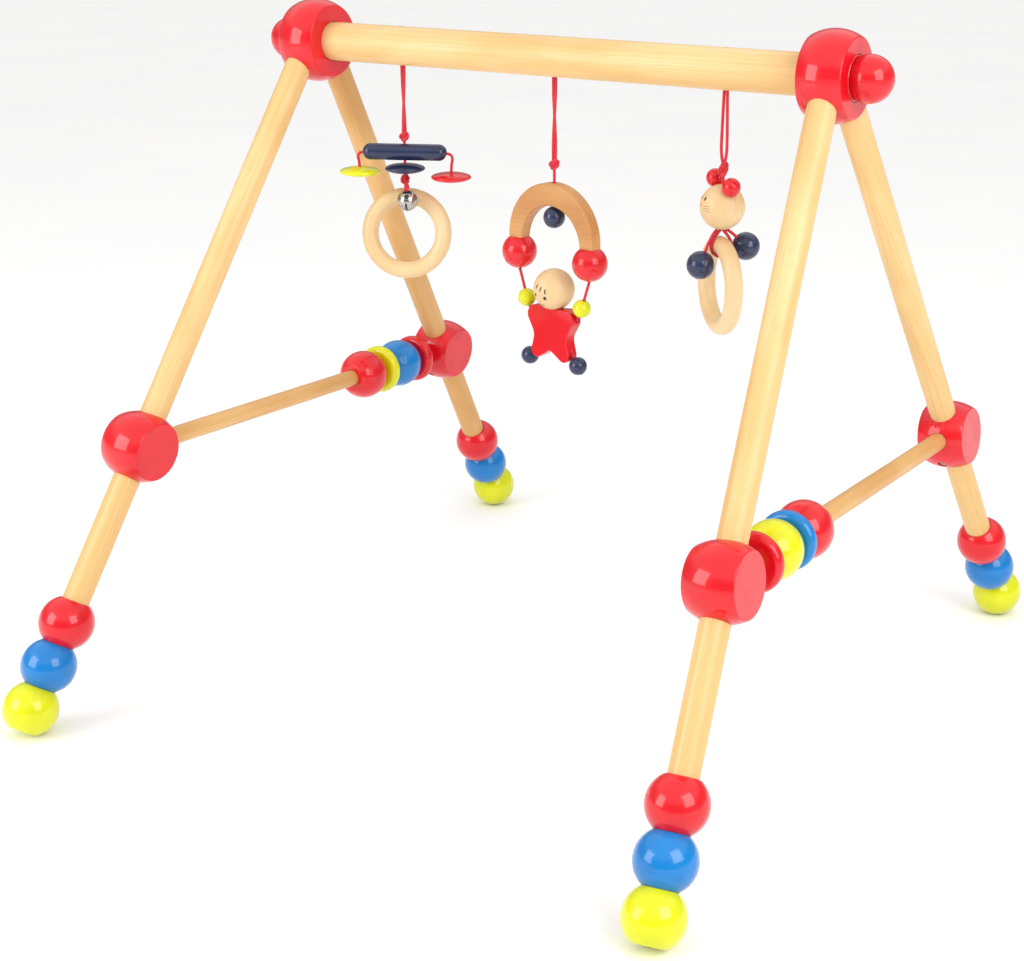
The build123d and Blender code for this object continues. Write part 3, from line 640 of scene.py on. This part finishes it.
figure_face = face_frame("figure_head", turn=-14.0, nod=14.0, roll=-8.0)
HAIR = (((-0.29, 0.30), (-0.19, 0.53)), ((0.02, 0.27), (0.08, 0.51)), ((0.34, 0.21), (0.30, 0.45)))
for i, (start, end) in enumerate(HAIR):
    painted_stroke(f"figure_hair_{i + 1}", "figure", figure_face, start, end, 0.07, BLACK_INK_AND_SHADE, 0.02)
for hand, side in (("left", -1), ("right", 1)):
    painted_dot(f"figure_{hand}_eye", "figure", figure_face, side * 0.31, 0.0, 0.17, 0.19, BLACK_INK_AND_SHADE)
painted_dot("figure_nose", "figure", figure_face, -0.01, -0.27, 0.08, 0.07, BLACK_INK_AND_SHADE, 0.0001)
painted_stroke("figure_mouth", "figure", figure_face, (-0.12, -0.42), (0.2, -0.42), 0.05, BLACK_INK_AND_SHADE, -0.05)
dress("figure_head", wood("figure_maple", MAPLE, (0.1, 0.1, 1), middle_of("figure_head"),
                          ring=0.003, figure=0.1))

mouse_face = face_frame("mouse_head", turn=-42.0, nod=0.0, roll=0.0)
WHISKERS = ((0.09, 0.17), (0.04, 0.02), (-0.01, -0.14))  # height of each one's root and tip
WHISKER_ROOT = 0.22
WHISKER_TIP = 0.66
for hand, side in (("left", -1), ("right", 1)):
    painted_dot(f"mouse_{hand}_eye", "mouse", mouse_face, side * 0.21, 0.42, 0.14, 0.21, BLACK_INK_AND_SHADE,
                lean=-12 * side)
    for i, (root, tip) in enumerate(WHISKERS):
        painted_stroke(f"mouse_{hand}_whisker_{i + 1}", "mouse", mouse_face,
                       (side * WHISKER_ROOT, root), (side * WHISKER_TIP, tip), 0.045, BLACK_INK_AND_SHADE)
painted_dot("mouse_nose", "mouse", mouse_face, 0.0, 0.12, 0.16, 0.13, PINK_INK, 0.0005)
dress("mouse_head", wood("mouse_maple", MAPLE, (0.2, 0.1, 1), middle_of("mouse_head"),
                         ring=0.0034, figure=0.1))

# ---- painted shade: black marks for the dark inside of the bell's sound hole and the slit below it ----
BELL_RADIUS = 0.0078
BELL_TURN = 31.0


def bell_side(nod):
    """The bell's surface as a face turned to the front right, looking down by nod degrees."""
    centre, _, *ways = face_frame("bell_shell", BELL_TURN, nod, 0.0)
    return (centre, BELL_RADIUS, *ways)


# black paint stands in for the shade inside the sound hole and the slit
painted_dot("bell_hole_shade", "bell", bell_side(-34.0), 0.0, 0.0, 0.52, 0.52, BLACK_INK_AND_SHADE, 0.0003)
painted_stroke("bell_slit_shade", "bell", bell_side(30.0), (0.0, 0.4), (0.0, -0.7), 0.13, BLACK_INK_AND_SHADE)

# ---- floor and light ----
FLOOR_SIZE = 40.0
LIT_HEIGHT = 0.25  # the softboxes face this height over the floor's middle


def make_floor():
    made, tree, shader = new_shader("floor")
    place = add(tree, "ShaderNodeTexCoord", {}).outputs["Object"]
    cloud = ramp(tree, noise(tree, place, 3.0, 2.0), 0.3, 0.7)
    feed(tree, shader, {
        "Base Color": blend(tree, cloud, srgb(250, 250, 250), srgb(248, 248, 249)),
        "Roughness": 0.9,
        "Specular IOR Level": 0.1,
    })
    half = FLOOR_SIZE / 2
    corners = [(-half, -half, 0), (half, -half, 0), (half, half, 0), (-half, half, 0)]
    floor = new_piece("floor", corners, [(0, 1, 2, 3)], made, smooth=False)


def make_world():
    """A pale studio: bright above, darker round the walls, plain white where the camera looks."""
    world = bpy.data.worlds.new("studio")
    world.use_nodes = True
    tree = world.node_tree
    tree.nodes.clear()
    out = tree.nodes.new("ShaderNodeOutputWorld")
    way = add(tree, "ShaderNodeTexCoord", {}).outputs["Generated"]
    height = add(tree, "ShaderNodeSeparateXYZ", {0: way}).outputs["Z"]
    shade = ramp(tree, height, 0.30, 0.62, 0.30, 1.16)
    lit = add(tree, "ShaderNodeBackground", {"Color": (1.0, 0.995, 0.985, 1.0), "Strength": shade})
    seen = add(tree, "ShaderNodeBackground", {"Color": (1.0, 1.0, 1.0, 1.0), "Strength": 1.0})
    path = add(tree, "ShaderNodeLightPath", {}).outputs["Is Camera Ray"]
    mix = add(tree, "ShaderNodeMixShader", {0: path, 1: lit.outputs[0], 2: seen.outputs[0]})
    tree.links.new(mix.outputs[0], out.inputs["Surface"])
    bpy.context.scene.world = world


def softbox(name, direction, distance, wide, tall, power):
    """A soft light, wide by tall metres, that faces the gym's middle."""
    data = bpy.data.lights.new(name, "AREA")
    data.shape = "RECTANGLE"
    data.size, data.size_y = wide, tall
    data.energy = power
    light = bpy.data.objects.new(name, data)
    bpy.context.scene.collection.objects.link(light)
    aim = Vector(direction).normalized()
    light.location = Vector((0, 0, LIT_HEIGHT)) + aim * distance
    light.rotation_euler = aim.to_track_quat("Z", "Y").to_euler()
    light.visible_camera = False


make_floor()
make_world()
softbox("left_softbox", (-0.50, -0.86, 0.30), distance=1.9, wide=1.0, tall=1.1, power=16.0)
softbox("right_softbox", (0.85, -0.32, 0.45), distance=1.7, wide=1.0, tall=1.1, power=15.0)
bpy.context.scene.view_settings.view_transform = "Standard"
